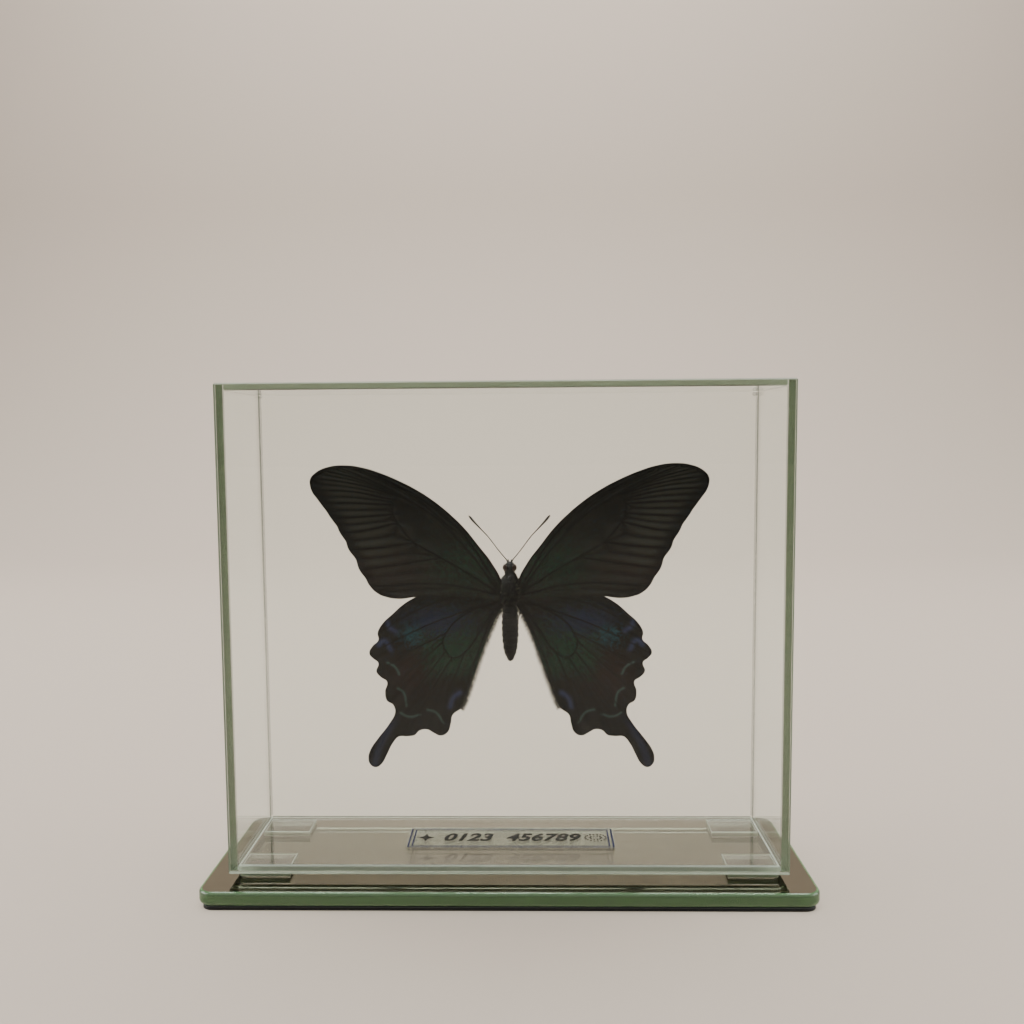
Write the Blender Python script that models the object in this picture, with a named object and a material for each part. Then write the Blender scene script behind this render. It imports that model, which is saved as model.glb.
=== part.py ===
"""A spread swallowtail butterfly in a sealed case of glued float glass, on a mirror-glass base.

Metres, +Z up. The case's front faces -Y and +X is on the viewer's right. The origin is on the
surface that the base stands on, under the middle of the base.
"""
import math

import bmesh
import bpy
from mathutils import Vector

MM = 0.001

# Glass case
CASE_WIDTH = 160 * MM
CASE_DEPTH = 40 * MM
CASE_HEIGHT = 140 * MM
PANE = 2 * MM
PANE_ARRIS = 0.35 * MM
SEAM = 0.25 * MM  # clearance between touching pieces, where the glue or the coating lies

# Mirror-glass base, and what lies under it
BASE_OVERHANG_SIDE = 7.6 * MM
BASE_OVERHANG_FRONT = 7 * MM
BASE_THICKNESS = 3.8 * MM
BASE_CORNER = 4.5 * MM
BASE_ARRIS = 0.9 * MM
BASE_ARRIS_STEPS = 3
BACKING_INSET = 1.3 * MM
BACKING_THICKNESS = 0.2 * MM
FOOT_INSET = 1 * MM
FOOT_THICKNESS = 0.9 * MM

# Spacer blocks between the base and the case
BLOCK_SIZE = Vector((14.5, 10, 1.6)) * MM
BLOCK_INSET = 2.5 * MM
BLOCK_ARRIS = 0.25 * MM

# Paper label on the case's floor
LABEL_SIZE = Vector((63, 14, 0.2)) * MM
LABEL_X = 0.5 * MM

# Butterfly: its heights are above the underside of the case
SPECIMEN_X = 0.8 * MM
SPECIMEN_Y = 1 * MM
BODY_SIDES = 16
BODY_STATIONS = (  # height, half width, half depth
    (57.2, 0.5, 0.5),
    (58.5, 1.3, 1.3),
    (61.0, 1.9, 2.0),
    (65.0, 2.3, 2.5),
    (69.0, 2.3, 2.5),
    (72.0, 2.2, 2.2),
    (73.7, 1.9, 1.9),
    (75.2, 2.6, 2.9),
    (77.5, 3.0, 3.4),
    (80.0, 3.0, 3.4),
    (82.0, 2.6, 2.9),
    (83.5, 1.6, 1.7),
    (84.2, 1.3, 1.3),
    (85.0, 1.8, 1.6),
    (86.0, 1.9, 1.7),
    (86.9, 1.4, 1.2),
    (87.4, 0.6, 0.5),
)
WING_THICKNESS = 0.3 * MM
WING_RAISE = math.radians(3)  # how far the wings lean towards the front
FOREWING_Y = -1.4 * MM
HINDWING_Y = -0.7 * MM
FOREWING_EDGE = (  # distance from the body's middle, height: root, costa, apex, margin, tornus
    (3.6, 81.6),
    (5.6, 87.4),
    (9.3, 92.5),
    (13.3, 97.6),
    (17.7, 102.0),
    (22.0, 105.6),
    (26.7, 108.8),
    (32.5, 111.9),
    (38.1, 114.3),
    (43.2, 115.9),
    (48.5, 116.6),
    (53.2, 116.1),
    (56.6, 114.6),
    (58.4, 112.4),
    (58.2, 109.6),
    (55.3, 105.0),
    (52.2, 100.6),
    (49.6, 96.0),
    (47.2, 91.2),
    (44.9, 86.6),
    (42.6, 82.2),
    (40.1, 78.9),
    (37.4, 77.4),
    (33.0, 76.7),
    (28.0, 77.2),
    (18.0, 77.2),
    (9.0, 76.8),
    (3.6, 76.6),
)
HINDWING_EDGE = (  # root, costa, five lobes, tail, two lobes, anal corner, inner margin
    (3.6, 77.8),
    (14.0, 79.6),
    (22.5, 78.8),
    (27.8, 77.2),
    (31.8, 74.9),
    (35.2, 71.9),
    (38.0, 69.3),
    (39.6, 66.4),
    (39.5, 64.1),
    (41.2, 62.4),
    (42.1, 60.2),
    (41.0, 58.6),
    (39.6, 57.1),
    (40.0, 54.6),
    (38.7, 52.8),
    (37.2, 51.4),
    (37.6, 48.6),
    (37.2, 45.7),
    (35.3, 44.1),
    (34.8, 42.2),
    (36.6, 38.6),
    (40.0, 34.2),
    (42.5, 30.5),
    (43.1, 28.2),
    (42.6, 26.2),
    (41.0, 25.2),
    (39.2, 26.2),
    (37.5, 29.1),
    (35.8, 32.4),
    (33.8, 34.5),
    (31.0, 34.6),
    (29.2, 34.9),
    (27.4, 36.4),
    (25.4, 36.5),
    (23.4, 35.6),
    (21.3, 34.6),
    (19.2, 35.6),
    (18.2, 38.1),
    (17.6, 40.8),
    (15.0, 43.0),
    (13.4, 46.2),
    (11.6, 51.0),
    (9.5, 57.0),
    (7.6, 62.5),
    (5.8, 67.4),
    (4.2, 71.8),
)
ANTENNA_PATH = (  # distance from the body's middle, height, thickness radius
    (0.9, 87.8, 0.22),
    (2.2, 89.4, 0.2),
    (3.8, 91.4, 0.18),
    (5.2, 93.3, 0.18),
    (6.6, 95.1, 0.19),
    (8.1, 96.7, 0.22),
    (9.5, 98.2, 0.28),
    (10.7, 99.5, 0.36),
    (11.6, 100.6, 0.4),
    (12.1, 101.2, 0.25),
)
ANTENNA_SIDES = 8
ROD_RADIUS = 1.25 * MM
ROD_HEIGHT = 78.5 * MM
ROD_SIDES = 24

# Heights that follow from the stack of pieces
BACKING_BOTTOM = FOOT_THICKNESS + SEAM
BASE_BOTTOM = BACKING_BOTTOM + BACKING_THICKNESS + SEAM
BASE_TOP = BASE_BOTTOM + BASE_THICKNESS
CASE_BOTTOM = BASE_TOP + BLOCK_SIZE.z + 2 * SEAM
CASE_TOP = CASE_BOTTOM + CASE_HEIGHT
BASE_HALF = Vector(
    (CASE_WIDTH / 2 + BASE_OVERHANG_SIDE, CASE_DEPTH / 2 + BASE_OVERHANG_FRONT)
)


def clear_scene():
    for item in list(bpy.data.objects):
        bpy.data.objects.remove(item, do_unlink=True)


def material(name, colour, roughness, metallic=0.0, transmission=0.0, ior=1.5):
    finish = bpy.data.materials.new(name)
    finish.use_nodes = True
    shader = finish.node_tree.nodes["Principled BSDF"]
    shader.inputs["Base Color"].default_value = (*colour, 1.0)
    shader.inputs["Roughness"].default_value = roughness
    shader.inputs["Metallic"].default_value = metallic
    shader.inputs["Transmission Weight"].default_value = transmission
    shader.inputs["IOR"].default_value = ior
    return finish


def add_node(name, shape, finish):
    """Makes a finished bmesh into the named node, with its normals pointing out."""
    bmesh.ops.recalc_face_normals(shape, faces=shape.faces)
    mesh = bpy.data.meshes.new(name)
    shape.to_mesh(mesh)
    shape.free()
    mesh.materials.append(finish)
    node = bpy.data.objects.new(name, mesh)
    bpy.context.collection.objects.link(node)
    return node


def plate(name, low, high, arris, finish, corner=0.0, steps=1):
    """A rectangular plate between two corners. Its top and bottom rims are eased by arris, and
    its upright edges are rounded by corner."""
    shape = bmesh.new()
    bmesh.ops.create_cube(shape, size=1.0)
    low, high = Vector(low), Vector(high)
    for vertex in shape.verts:
        for axis in range(3):
            vertex.co[axis] = low[axis] if vertex.co[axis] < 0 else high[axis]
    if corner:
        upright = [e for e in shape.edges if abs(e.verts[0].co.z - e.verts[1].co.z) > SEAM / 2]
        bmesh.ops.bevel(
            shape, geom=upright, offset=corner, segments=8, profile=0.5, affect="EDGES"
        )
    if arris:
        rims = [e for e in shape.edges if abs(e.verts[0].co.z - e.verts[1].co.z) < SEAM / 2]
        bmesh.ops.bevel(
            shape, geom=rims, offset=arris, segments=steps, profile=0.5, affect="EDGES"
        )
    return add_node(name, shape, finish)


def loft(name, rings, finish):
    """A closed skin over a row of rings that all have the same number of points."""
    shape = bmesh.new()
    rows = [[shape.verts.new(point) for point in ring] for ring in rings]
    for first, second in zip(rows, rows[1:]):
        for i in range(len(first)):
            j = (i + 1) % len(first)
            shape.faces.new((first[i], first[j], second[j], second[i]))
    shape.faces.new(rows[0])
    shape.faces.new(rows[-1])
    return add_node(name, shape, finish)


def ellipse(centre, across, along, sides):
    """The points of an ellipse given by its centre and its two half axes."""
    turns = [2 * math.pi * i / sides for i in range(sides)]
    return [centre + math.cos(t) * across + math.sin(t) * along for t in turns]


def build_base():
    coated_glass = material("Bronze_Coated_Glass", (0.62, 0.58, 0.5), 0.03, 0.0, 1.0, 1.52)
    paint = material("Black_Backing_Paint", (0.03, 0.028, 0.025), 0.6)
    felt = material("Black_Foot_Felt", (0.012, 0.012, 0.01), 0.95)

    def layer(name, inset, bottom, thickness, finish, arris=0.0, steps=1):
        x, y = BASE_HALF.x - inset, BASE_HALF.y - inset
        corner = BASE_CORNER - inset
        plate(name, (-x, -y, bottom), (x, y, bottom + thickness), arris, finish, corner, steps)

    layer("foot_felt", FOOT_INSET, 0.0, FOOT_THICKNESS, felt)
    layer("backing_paint", BACKING_INSET, BACKING_BOTTOM, BACKING_THICKNESS, paint)
    layer(
        "base_plate", 0.0, BASE_BOTTOM, BASE_THICKNESS, coated_glass, BASE_ARRIS, BASE_ARRIS_STEPS
    )


def build_blocks():
    glass = material("Spacer_Glass", (0.8, 0.88, 0.82), 0.03, 0.0, 1.0, 1.52)
    x_middle = CASE_WIDTH / 2 - BLOCK_INSET - BLOCK_SIZE.x / 2
    y_middle = CASE_DEPTH / 2 - BLOCK_INSET - BLOCK_SIZE.y / 2
    height = BASE_TOP + SEAM + BLOCK_SIZE.z / 2
    for depth_name, y_side in (("front", -1), ("back", 1)):
        for side_name, x_side in (("left", -1), ("right", 1)):
            middle = Vector((x_side * x_middle, y_side * y_middle, height))
            name = f"spacer_block_{depth_name}_{side_name}"
            plate(name, middle - BLOCK_SIZE / 2, middle + BLOCK_SIZE / 2, BLOCK_ARRIS, glass)


def build_case():
    """Front and back cover the whole case, the sides stand between them, floor and top lie inside."""
    glass = material("Float_Glass", (0.86, 0.93, 0.87), 0.02, 0.0, 1.0, 1.52)
    x_out, y_out = CASE_WIDTH / 2, CASE_DEPTH / 2
    y_in = y_out - PANE
    x_in = x_out - PANE
    y_fit, x_fit = y_in - SEAM, x_in - SEAM
    low, high = CASE_BOTTOM, CASE_TOP
    panes = {
        "front_pane": ((-x_out, -y_out, low), (x_out, -y_in, high)),
        "back_pane": ((-x_out, y_in, low), (x_out, y_out, high)),
        "left_pane": ((-x_out, -y_fit, low), (-x_in, y_fit, high)),
        "right_pane": ((x_in, -y_fit, low), (x_out, y_fit, high)),
        "floor_pane": ((-x_fit, -y_fit, low), (x_fit, y_fit, low + PANE)),
        "top_pane": ((-x_fit, -y_fit, high - PANE), (x_fit, y_fit, high)),
    }
    for name, (corner_low, corner_high) in panes.items():
        plate(name, corner_low, corner_high, PANE_ARRIS, glass)


def build_label():
    film = material("Label_Film", (0.62, 0.66, 0.68), 0.45)
    bottom = CASE_BOTTOM + PANE + SEAM
    half = LABEL_SIZE / 2
    low = (LABEL_X - half.x, -half.y, bottom)
    high = (LABEL_X + half.x, half.y, bottom + LABEL_SIZE.z)
    plate("label", low, high, 0.0, film)


def build_body():
    chitin = material("Dark_Chitin", (0.018, 0.013, 0.01), 0.6)
    rings = []
    for height, half_width, half_depth in BODY_STATIONS:
        centre = Vector((SPECIMEN_X, SPECIMEN_Y, CASE_BOTTOM + height * MM))
        across = Vector((half_width * MM, 0, 0))
        along = Vector((0, half_depth * MM, 0))
        rings.append(ellipse(centre, across, along, BODY_SIDES))
    loft("body", rings, chitin)


def build_wings():
    """Each wing is a flat plate of its outline that leans to the front from its root outwards."""
    membrane = material("Wing_Scales", (0.015, 0.016, 0.018), 0.7)
    wings = (("forewing", FOREWING_EDGE, FOREWING_Y), ("hindwing", HINDWING_EDGE, HINDWING_Y))
    for wing_name, edge, y_root in wings:
        for side_name, side in (("left", -1), ("right", 1)):
            shape = bmesh.new()
            outline = []
            for distance, height in edge:
                x = SPECIMEN_X + side * distance * MM
                y = SPECIMEN_Y + y_root - math.tan(WING_RAISE) * distance * MM
                outline.append(shape.verts.new((x, y, CASE_BOTTOM + height * MM)))
            face = shape.faces.new(outline)
            grown = bmesh.ops.extrude_face_region(shape, geom=[face])
            back = [v for v in grown["geom"] if isinstance(v, bmesh.types.BMVert)]
            bmesh.ops.translate(shape, verts=back, vec=(0, WING_THICKNESS, 0))
            add_node(f"{wing_name}_{side_name}", shape, membrane)


def build_antennae():
    horn = material("Antenna_Chitin", (0.01, 0.008, 0.007), 0.5)
    for side_name, side in (("left", -1), ("right", 1)):
        points = [
            Vector((SPECIMEN_X + side * distance * MM, SPECIMEN_Y, CASE_BOTTOM + height * MM))
            for distance, height, _ in ANTENNA_PATH
        ]
        rings = []
        for i, point in enumerate(points):
            before, after = points[max(i - 1, 0)], points[min(i + 1, len(points) - 1)]
            along = (after - before).normalized()
            depth = Vector((0, 1, 0))
            radius = ANTENNA_PATH[i][2] * MM
            rings.append(
                ellipse(point, radius * along.cross(depth), radius * depth, ANTENNA_SIDES)
            )
        loft(f"antenna_{side_name}", rings, horn)


def build_support_rod():
    """A short clear rod from the back pane to the thorax, hidden behind the body."""
    acrylic = material("Clear_Acrylic_Rod", (0.9, 0.9, 0.9), 0.05, 0.0, 1.0, 1.49)
    thorax_depth = max(half_depth for _, _, half_depth in BODY_STATIONS) * MM
    ends = (SPECIMEN_Y + thorax_depth + SEAM, CASE_DEPTH / 2 - PANE - SEAM)
    across, up = Vector((ROD_RADIUS, 0, 0)), Vector((0, 0, ROD_RADIUS))
    height = CASE_BOTTOM + ROD_HEIGHT
    rings = [ellipse(Vector((SPECIMEN_X, y, height)), across, up, ROD_SIDES) for y in ends]
    loft("support_rod", rings, acrylic)


clear_scene()
build_base()
build_blocks()
build_case()
build_label()
build_support_rod()
build_body()
build_wings()
build_antennae()
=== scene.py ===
# A spread black swallowtail butterfly in a sealed case of glued float glass, which stands on
# four glass blocks on a mirror-glass base. Metres, +Z up, the case's front towards -Y.
import math

import bpy
import numpy as np
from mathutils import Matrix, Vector


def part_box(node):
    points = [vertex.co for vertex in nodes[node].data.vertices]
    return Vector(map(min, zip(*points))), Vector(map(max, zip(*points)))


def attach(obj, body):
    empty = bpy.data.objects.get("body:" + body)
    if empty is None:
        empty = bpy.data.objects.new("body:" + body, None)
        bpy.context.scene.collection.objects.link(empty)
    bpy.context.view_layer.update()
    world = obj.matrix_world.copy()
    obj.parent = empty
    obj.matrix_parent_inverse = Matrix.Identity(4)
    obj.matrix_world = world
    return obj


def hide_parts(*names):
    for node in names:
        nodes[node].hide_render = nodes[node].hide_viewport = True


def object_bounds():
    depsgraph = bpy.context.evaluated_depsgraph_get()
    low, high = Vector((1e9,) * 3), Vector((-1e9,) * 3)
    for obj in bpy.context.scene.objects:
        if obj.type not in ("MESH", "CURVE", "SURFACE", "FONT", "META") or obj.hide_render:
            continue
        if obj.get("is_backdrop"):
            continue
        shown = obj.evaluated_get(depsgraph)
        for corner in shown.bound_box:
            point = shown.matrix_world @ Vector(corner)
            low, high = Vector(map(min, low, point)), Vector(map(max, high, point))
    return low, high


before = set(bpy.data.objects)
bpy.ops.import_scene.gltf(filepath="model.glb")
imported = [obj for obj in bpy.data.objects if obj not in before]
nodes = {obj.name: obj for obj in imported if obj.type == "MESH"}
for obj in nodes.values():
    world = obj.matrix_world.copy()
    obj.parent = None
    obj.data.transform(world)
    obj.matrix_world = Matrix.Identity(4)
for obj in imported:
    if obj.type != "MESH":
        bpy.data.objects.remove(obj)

cad_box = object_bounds()
MM = 0.001

# ---------------------------------------------------------------------------------------------
# Foot felt: a thin black needled felt sheet under the base, glued on by its whole upper face.
# It keeps the glass off the table and shows only as a dark line under the base's edge.
FELT_FIBRE = 0.25  # mm between fibres
FELT_TUFT = 3.0  # mm across a tuft


def linear(code):
    """An sRGB hex colour as linear red, green, blue and alpha."""
    parts = [int(code[i:i + 2], 16) / 255 for i in (1, 3, 5)]
    return (*(p / 12.92 if p <= 0.04045 else ((p + 0.055) / 1.055) ** 2.4 for p in parts), 1.0)


def add(tree, kind, sockets=None, **settings):
    """Adds a shader node. Each socket takes a number, a colour or an output to link."""
    node = tree.nodes.new("ShaderNode" + kind)
    for name, value in settings.items():
        setattr(node, name, value)
    for name, value in (sockets or {}).items():
        if isinstance(value, bpy.types.NodeSocket):
            tree.links.new(value, node.inputs[name])
        else:
            node.inputs[name].default_value = value
    return node


def new_material(name, **plain):
    """A material, its tree, its shader with plain values set by socket name, and its place."""
    made = bpy.data.materials.new(name)
    made.use_nodes = True
    tree = made.node_tree
    shader = tree.nodes["Principled BSDF"]
    for socket, value in plain.items():
        shader.inputs[socket.replace("_", " ")].default_value = value
    return made, tree, shader, add(tree, "TexCoord").outputs["Object"]


def wire(shader, **outputs):
    """Links each output to the shader's socket of that name."""
    for socket, output in outputs.items():
        shader.id_data.links.new(output, shader.inputs[socket.replace("_", " ")])


def give(node_name, material):
    """Gives a CAD node its finish in place of the plain one."""
    slots = nodes[node_name].data.materials
    slots.clear()
    slots.append(material)


def needled_felt():
    # Needled wool felt: matte, soft tufts a little lighter than the shadows between them.
    felt, tree, shader, place = new_material("needled_felt", Roughness=0.95, Sheen_Weight=0.2)
    fibre = add(tree, "TexNoise", {"Vector": place, "Scale": 1000 / FELT_FIBRE})
    tuft = add(tree, "TexNoise", {"Vector": place, "Scale": 1000 / FELT_TUFT})
    both = add(tree, "Math", {0: fibre.outputs["Fac"], 1: tuft.outputs["Fac"]},
               operation="MULTIPLY")
    shade = add(tree, "Mix", {"Factor": both.outputs[0], 6: linear("#060605"),
                7: linear("#1d1c1a")}, data_type="RGBA")
    bump = add(tree, "Bump", {"Height": fibre.outputs["Fac"], "Strength": 0.6,
               "Distance": 0.1 * MM})
    wire(shader, Base_Color=shade.outputs[2], Normal=bump.outputs[0])
    return felt


give("foot_felt", needled_felt())

# ---------------------------------------------------------------------------------------------
# Backing paint: one coat of black satin paint, rolled on to the back of the base glass. Only
# its rim shows, through the glass's polished edge.
ROLLER_MARK = 0.7  # mm


def backing_paint():
    # Rolled satin paint with the fine orange peel that a foam roller leaves.
    paint, tree, shader, place = new_material("rolled_black_paint", Roughness=0.45)
    peel = add(tree, "TexNoise", {"Vector": place, "Scale": 1000 / ROLLER_MARK})
    shade = add(tree, "Mix", {"Factor": peel.outputs["Fac"], 6: linear("#141311"),
                7: linear("#232120")}, data_type="RGBA")
    bump = add(tree, "Bump", {"Height": peel.outputs["Fac"], "Strength": 0.4,
               "Distance": 0.03 * MM})
    wire(shader, Base_Color=shade.outputs[2], Normal=bump.outputs[0])
    return paint


give("backing_paint", backing_paint())

# ---------------------------------------------------------------------------------------------
# Base plate, spacer blocks and case panes: soda-lime float glass. The faces are fire-polished
# and clear, the cut edges and their arrises are ground, and iron in the glass turns a long way
# through it green. The base has a bronze mirror coat baked on to its upper face. Glue cured by
# ultraviolet light, laid in the seams, holds the panes and blocks.
GLASS_IOR = 1.52
COATED_IOR = 1.25  # the front and back panes reflect less than bare glass, as if coated
SMEAR_SIZE = 22.0  # mm across a wiped smear
GRIND_MARK = 0.35  # mm between the marks of the edging wheel
CLOUD_SIZE = 18.0  # mm across a cloudy patch of the mirror coat
PINHOLE_SPACING = 9.0  # mm between pinholes in the coat
LAMP_SHARE = 0.93  # how much of a lamp's light one face of clear glass lets past
EDGE_CLEAR = 0.6  # how much of the light that meets a ground edge goes on through it
SQUARE_ON = 0.97  # a face points along an axis when that part of its normal is at least this


def float_glass(name, thin_axis, edge_colour, arris_highlight_colour, edge_roughness, iron, bend):
    """Float glass whose faces point along thin_axis; its other sides are cut edges."""
    glass, tree, shader, place = new_material(name, IOR=bend)
    normal = add(tree, "NewGeometry").outputs["True Normal"]
    size = add(tree, "VectorMath", {0: normal}, operation="ABSOLUTE").outputs[0]
    facing = add(tree, "SeparateXYZ", {"Vector": size})
    face = add(tree, "Math", {0: facing.outputs[thin_axis], 1: SQUARE_ON},
               operation="GREATER_THAN").outputs[0]
    # An arris leans: its normal's upright part is neither near 0 nor near 1.
    slant = add(tree, "Math", {0: facing.outputs["Z"], 1: 0.5, 2: 0.4},
                operation="COMPARE").outputs[0]
    smear = add(tree, "TexNoise", {"Vector": place, "Scale": 1000 / SMEAR_SIZE,
                "Detail": 3.0})
    polish = add(tree, "MapRange", {"Value": smear.outputs["Fac"], "From Min": 0.5,
                 "From Max": 0.8, "To Min": 0.0, "To Max": 0.02})
    rough = add(tree, "Mix", {"Factor": face, 2: edge_roughness,
                3: polish.outputs[0]})
    clear = add(tree, "Mix", {"Factor": face, 2: EDGE_CLEAR, 3: 1.0})
    # The arrises take a lighter colour than the flat ground edges: a painted highlight along each
    # arris.
    ground_and_highlight = add(tree, "Mix", {"Factor": slant, 6: linear(edge_colour),
                 7: linear(arris_highlight_colour)}, data_type="RGBA")
    tint = add(tree, "Mix", {"Factor": face, 6: ground_and_highlight.outputs[2],
               7: linear("#fdfffd")}, data_type="RGBA")
    grind = add(tree, "TexNoise", {"Vector": place, "Scale": 1000 / GRIND_MARK})
    depth = add(tree, "Mix", {"Factor": face, 2: grind.outputs["Fac"], 3: 0.5})
    bump = add(tree, "Bump", {"Height": depth.outputs[0], "Strength": 0.25,
               "Distance": 0.03 * MM})
    wire(shader, Roughness=rough.outputs[0], Transmission_Weight=clear.outputs[0],
         Base_Color=tint.outputs[2], Normal=bump.outputs[0])
    # Lamps reach what is behind the glass without waiting for caustics.
    path = add(tree, "LightPath")
    lamp = add(tree, "Math", {0: path.outputs["Is Shadow Ray"],
               1: path.outputs["Is Diffuse Ray"]}, operation="MAXIMUM")
    open_glass = add(tree, "BsdfTransparent", {"Color": (LAMP_SHARE,) * 3 + (1.0,)})
    mixed = add(tree, "MixShader", {0: lamp.outputs[0], 1: shader.outputs[0],
                2: open_glass.outputs[0]})
    output = tree.nodes["Material Output"]
    tree.links.new(mixed.outputs[0], output.inputs["Surface"])
    absorb = add(tree, "VolumeAbsorption", {"Color": linear("#9fd8ae"),
                 "Density": iron})
    tree.links.new(absorb.outputs[0], output.inputs["Volume"])
    return glass


# All five are one glass. Their edge colours differ, palest on the floor pane and darkest on the
# side panes, as painted light and shade: the light each pane's ground edge shows where it stands.
upright_glass = float_glass("float_glass_front_and_back", "Y", "#a3af97", "#c3c9b7", 0.15, 9.0,
                            COATED_IOR)
side_glass = float_glass("float_glass_sides", "X", "#84937a", "#a0ab95", 0.2, 9.0, GLASS_IOR)
top_glass = float_glass("float_glass_top", "Z", "#a6b199", "#bfc5b3", 0.2, 9.0, GLASS_IOR)
floor_glass = float_glass("float_glass_floor", "Z", "#dbe5cf", "#e6ecdf", 0.3, 9.0, GLASS_IOR)
block_glass = float_glass("float_glass_blocks", "Z", "#a9b59c", "#d3d8ca", 0.12, 8.0, GLASS_IOR)


def mirror_coated(glass):
    # The bronze mirror coat: bare metal on the face that points up, its tone a little cloudy,
    # with a few pinholes through to the dark glass.
    tree = glass.node_tree
    shader = tree.nodes["Principled BSDF"]
    place = add(tree, "TexCoord").outputs["Object"]
    normal = add(tree, "NewGeometry").outputs["True Normal"]
    height = add(tree, "SeparateXYZ", {"Vector": normal}).outputs["Z"]
    upper = add(tree, "Math", {0: height, 1: SQUARE_ON}, operation="GREATER_THAN")
    cloud = add(tree, "TexNoise", {"Vector": place, "Scale": 1000 / CLOUD_SIZE,
                "Detail": 4.0})
    pinhole = add(tree, "TexVoronoi", {"Vector": place,
                  "Scale": 1000 / PINHOLE_SPACING})
    whole = add(tree, "MapRange", {"Value": pinhole.outputs["Distance"],
                "From Min": 0.012, "From Max": 0.03})
    tone = add(tree, "Mix", {"Factor": cloud.outputs["Fac"], 6: linear("#706d60"),
               7: linear("#7c796b")}, data_type="RGBA")
    coat = add(tree, "Mix", {"Factor": whole.outputs[0], 6: linear("#3a352c"),
               7: tone.outputs[2]}, data_type="RGBA")
    haze = add(tree, "MapRange", {"Value": cloud.outputs["Fac"], "To Min": 0.02,
               "To Max": 0.06})
    for name, kind, first, coated in (("Base Color", "RGBA", 6, coat.outputs[2]),
                                      ("Roughness", "FLOAT", 2, haze.outputs[0])):
        below = shader.inputs[name].links[0].from_socket
        mixed = add(tree, "Mix", {"Factor": upper.outputs[0], first: below,
                    first + 1: coated}, data_type=kind)
        tree.links.new(mixed.outputs[2 if kind == "RGBA" else 0], shader.inputs[name])
    wire(shader, Metallic=upper.outputs[0])
    # The coat lets no light through, so lamps and bounced light pass only where it ends.
    sides = tree.nodes["Material Output"].inputs["Surface"].links[0].from_node
    bare = add(tree, "Math", {0: sides.inputs[0].links[0].from_socket,
               1: upper.outputs[0]}, operation="SUBTRACT", use_clamp=True)
    tree.links.new(bare.outputs[0], sides.inputs[0])
    return glass


base_glass = mirror_coated(float_glass("mirror_coated_glass", "Z", "#74a66c", "#86a67c", 0.12,
                                       22.0, GLASS_IOR))
give("base_plate", base_glass)
for corner in ("front_left", "front_right", "back_left", "back_right"):
    give(f"spacer_block_{corner}", block_glass)
for pane, glass in (("front", upright_glass), ("back", upright_glass), ("left", side_glass),
                    ("right", side_glass), ("floor", floor_glass), ("top", top_glass)):
    give(f"{pane}_pane", glass)

FILLET = 0.5  # mm, each side of the bead that squeezed out into an inner corner
BUBBLE_SPACING = 1.1  # mm
inner_low, inner_high = (Vector(c) for c in zip(*(
    (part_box("left_pane")[1].x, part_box("right_pane")[0].x),
    (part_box("front_pane")[1].y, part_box("back_pane")[0].y),
    (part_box("floor_pane")[1].z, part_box("top_pane")[0].z))))


def only(piece):
    """Selects one piece and makes it the active one."""
    bpy.ops.object.select_all(action="DESELECT")
    piece.select_set(True)
    bpy.context.view_layer.objects.active = piece


def start(add_primitive, name, place, **settings):
    """Adds a primitive by itself, names it and opens it for editing."""
    bpy.ops.object.select_all(action="DESELECT")
    add_primitive(location=place, **settings)
    made = bpy.context.object
    made.name = name
    bpy.ops.object.mode_set(mode="EDIT")
    return made


def settle():
    """Closes the piece that is open and brings its origin to the world's."""
    bpy.ops.object.mode_set(mode="OBJECT")
    bpy.ops.object.transform_apply()


def hold(piece, slot, *replaced):
    """Fixes a new piece to the case and hides the CAD nodes it replaces; slot, whose finish it
    takes, is not used.
    """
    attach(piece, "root")
    if replaced:
        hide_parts(*replaced)


def cured_glue():
    # Clear acrylate glue: glossy, faintly milky, with small trapped bubbles. Each bubble is a pale
    # spot in the colour: a painted glint.
    glue, tree, shader, place = new_material("cured_glue", IOR=1.48, Roughness=0.12, Alpha=0.2)
    bubble = add(tree, "TexVoronoi", {"Vector": place, "Scale": 1000 / BUBBLE_SPACING})
    bubble_glint = add(tree, "MapRange", {"Value": bubble.outputs["Distance"],
               "From Min": 0.1, "From Max": 0.3})
    shade = add(tree, "Mix", {"Factor": bubble_glint.outputs[0], 6: linear("#eceadf"),
                7: linear("#8b9080")}, data_type="RGBA")
    bump = add(tree, "Bump", {"Height": bubble.outputs["Distance"], "Strength": 0.3,
               "Distance": 0.1 * MM})
    wire(shader, Base_Color=shade.outputs[2], Normal=bump.outputs[0])
    return glue


glue_material = cured_glue()
middle = (inner_low + inner_high) / 2
half = (inner_high - inner_low) / 2
for number, (x, y) in enumerate(((-1, -1), (-1, 1), (1, -1), (1, 1))):
    corner = Vector((middle.x + x * half.x, middle.y + y * half.y, middle.z))
    bead = start(bpy.ops.mesh.primitive_cube_add, f"glue_bead_upright_{number}",
                 corner - Vector((x, y, 0)) * FILLET * MM / 2, size=1)
    bpy.ops.transform.resize(value=(FILLET * MM, FILLET * MM, 2 * half.z - 0.2 * MM))
    bpy.ops.mesh.bisect(plane_co=corner - Vector((x, 0, 0)) * FILLET * MM, plane_no=(-x, -y, 0),
                        use_fill=True, clear_outer=True)
    bpy.ops.mesh.select_all(action="SELECT")
    bpy.ops.mesh.bisect(plane_co=corner - Vector((0, 0, half.z - 1.6 * FILLET * MM)),
                        plane_no=(0, 0, 1))
    settle()
    bead.data.materials.append(glue_material)
    hold(bead, "clear_acrylic")

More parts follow.
